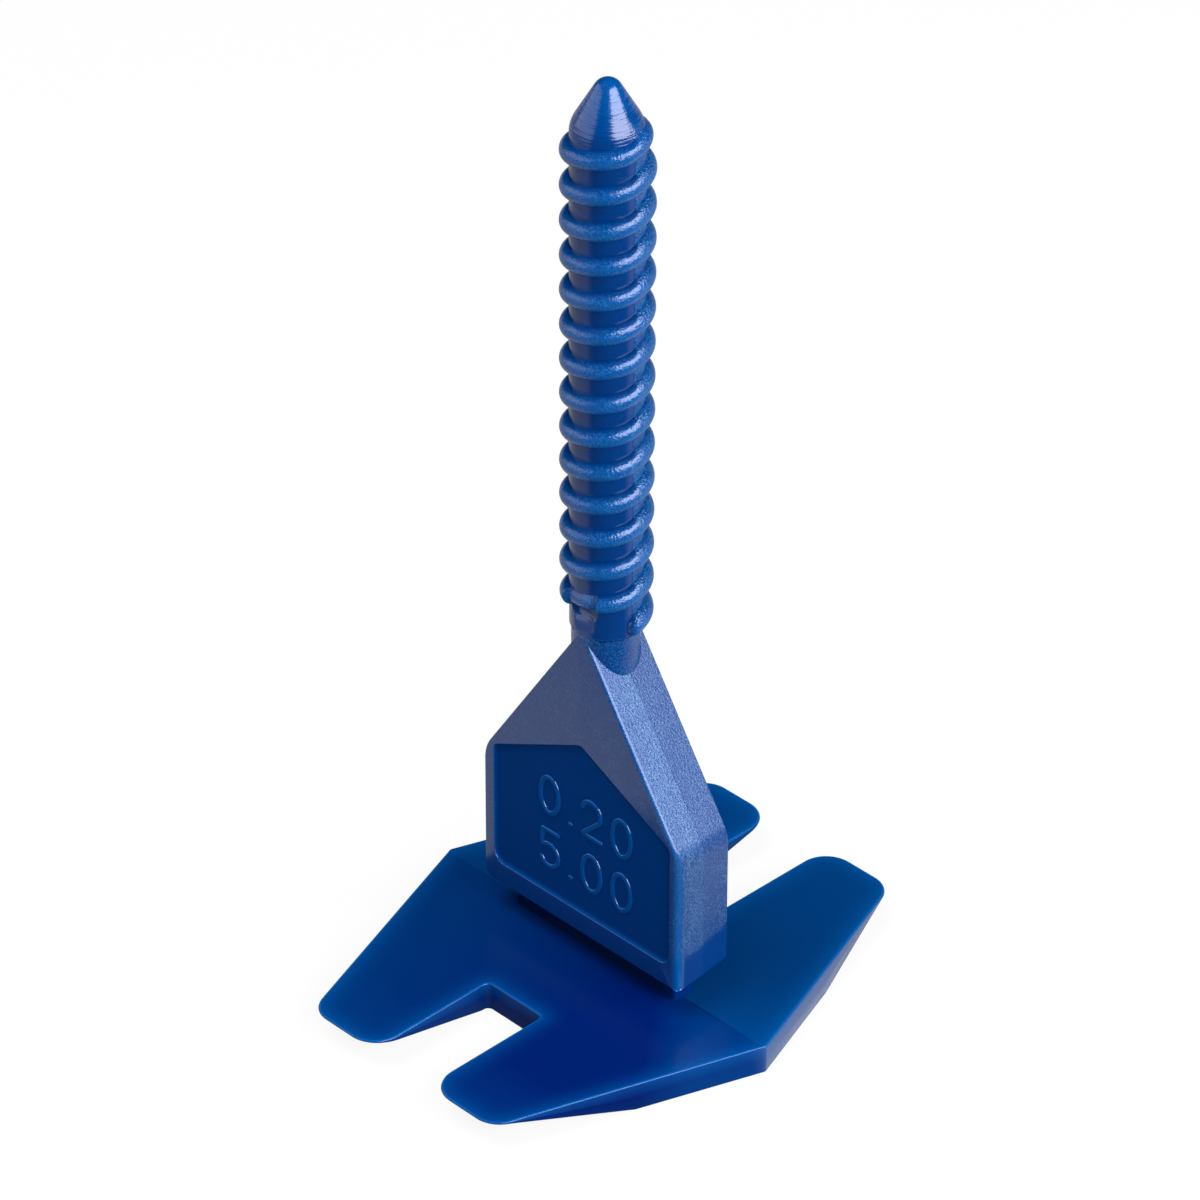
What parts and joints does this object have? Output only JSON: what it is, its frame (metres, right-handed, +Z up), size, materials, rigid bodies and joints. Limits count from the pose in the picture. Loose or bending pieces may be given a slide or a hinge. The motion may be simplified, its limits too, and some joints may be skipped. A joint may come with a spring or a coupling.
{
  "type": "tile levelling clip",
  "caption": "One-piece plastic tile levelling clip: petalled base plate, break-off neck, house-shaped joint web with shallow pockets and a round threaded stem with a cone point.",
  "frame": {"origin": "middle of the base plate's underside", "axes": "+Z up the stem, +X along the tile joint and the web's width, +Y across the joint towards the back petals"},
  "size_m": [0.033, 0.0406, 0.0746],
  "materials": {
    "blue_plastic": "semi-gloss moulded royal blue"
  },
  "bodies": {
    "root": {"levelling_clip": "blue_plastic"}
  },
  "joints": []
}
